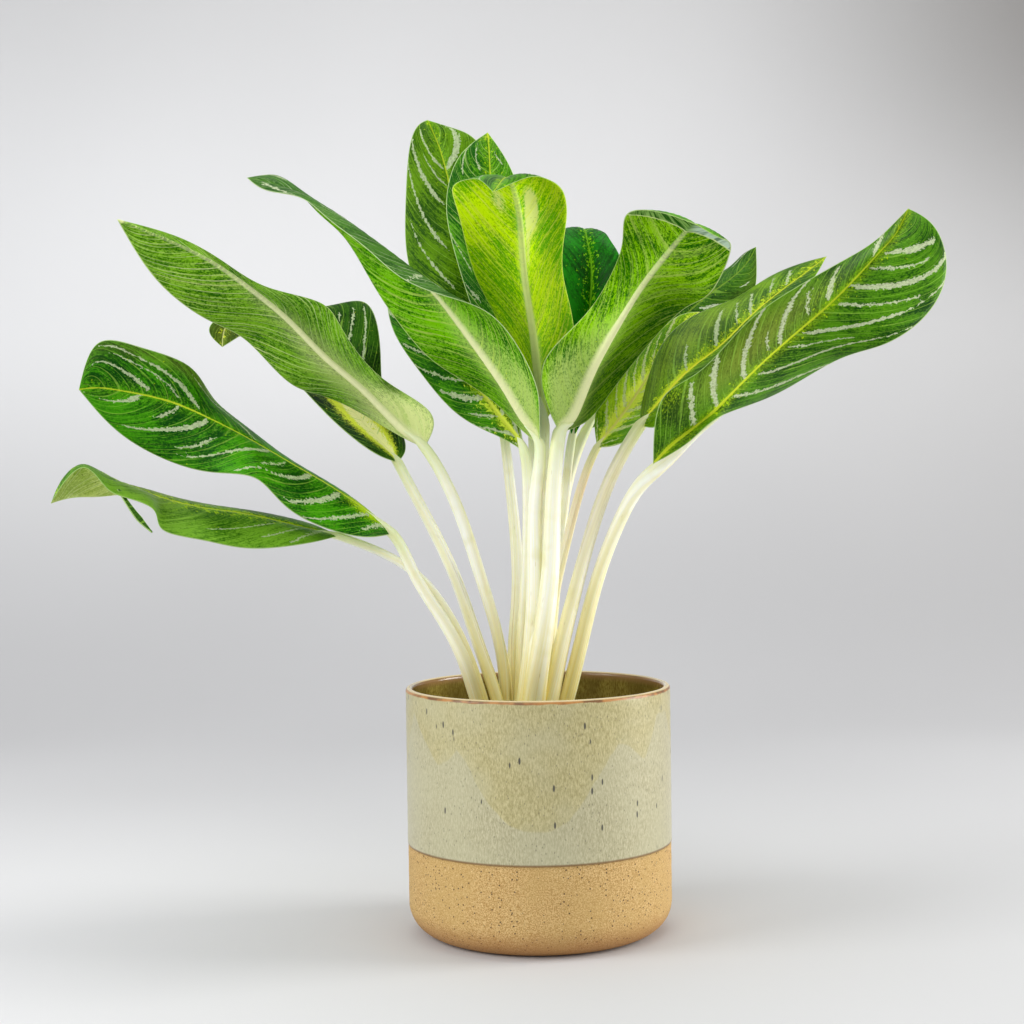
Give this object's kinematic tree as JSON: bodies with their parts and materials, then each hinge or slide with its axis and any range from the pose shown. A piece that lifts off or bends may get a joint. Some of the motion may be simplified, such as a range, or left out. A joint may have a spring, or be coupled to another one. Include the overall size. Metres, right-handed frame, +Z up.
{
  "type": "potted plant",
  "caption": "Broad-leaved potted aglaonema with pale stalks and feathered green blades, in a round two-tone stoneware pot filled with soil.",
  "frame": {"origin": "centre of the pot's flat underside", "axes": "+Z up; the side seen in the picture faces -Y, and +X is to the right in it"},
  "size_m": [0.4995, 0.2372, 0.48],
  "materials": {
    "stoneware": "satin",
    "soil": "matte",
    "stalk": "satin",
    "leaf": "satin"
  },
  "bodies": {
    "root": {"pot": "stoneware", "soil": "soil", "stalks": "stalk", "leaf_tall_back": "leaf", "leaf_back_middle": "leaf", "leaf_front_middle": "leaf", "leaf_small_back": "leaf", "leaf_front_right": "leaf", "leaf_back_right": "leaf", "leaf_right_inner": "leaf", "leaf_right_middle": "leaf", "leaf_far_right": "leaf", "leaf_front_left": "leaf", "leaf_left_inner": "leaf", "leaf_left_upper": "leaf", "leaf_left_back": "leaf", "leaf_left_lower": "leaf", "leaf_left_lowest": "leaf"}
  },
  "joints": []
}
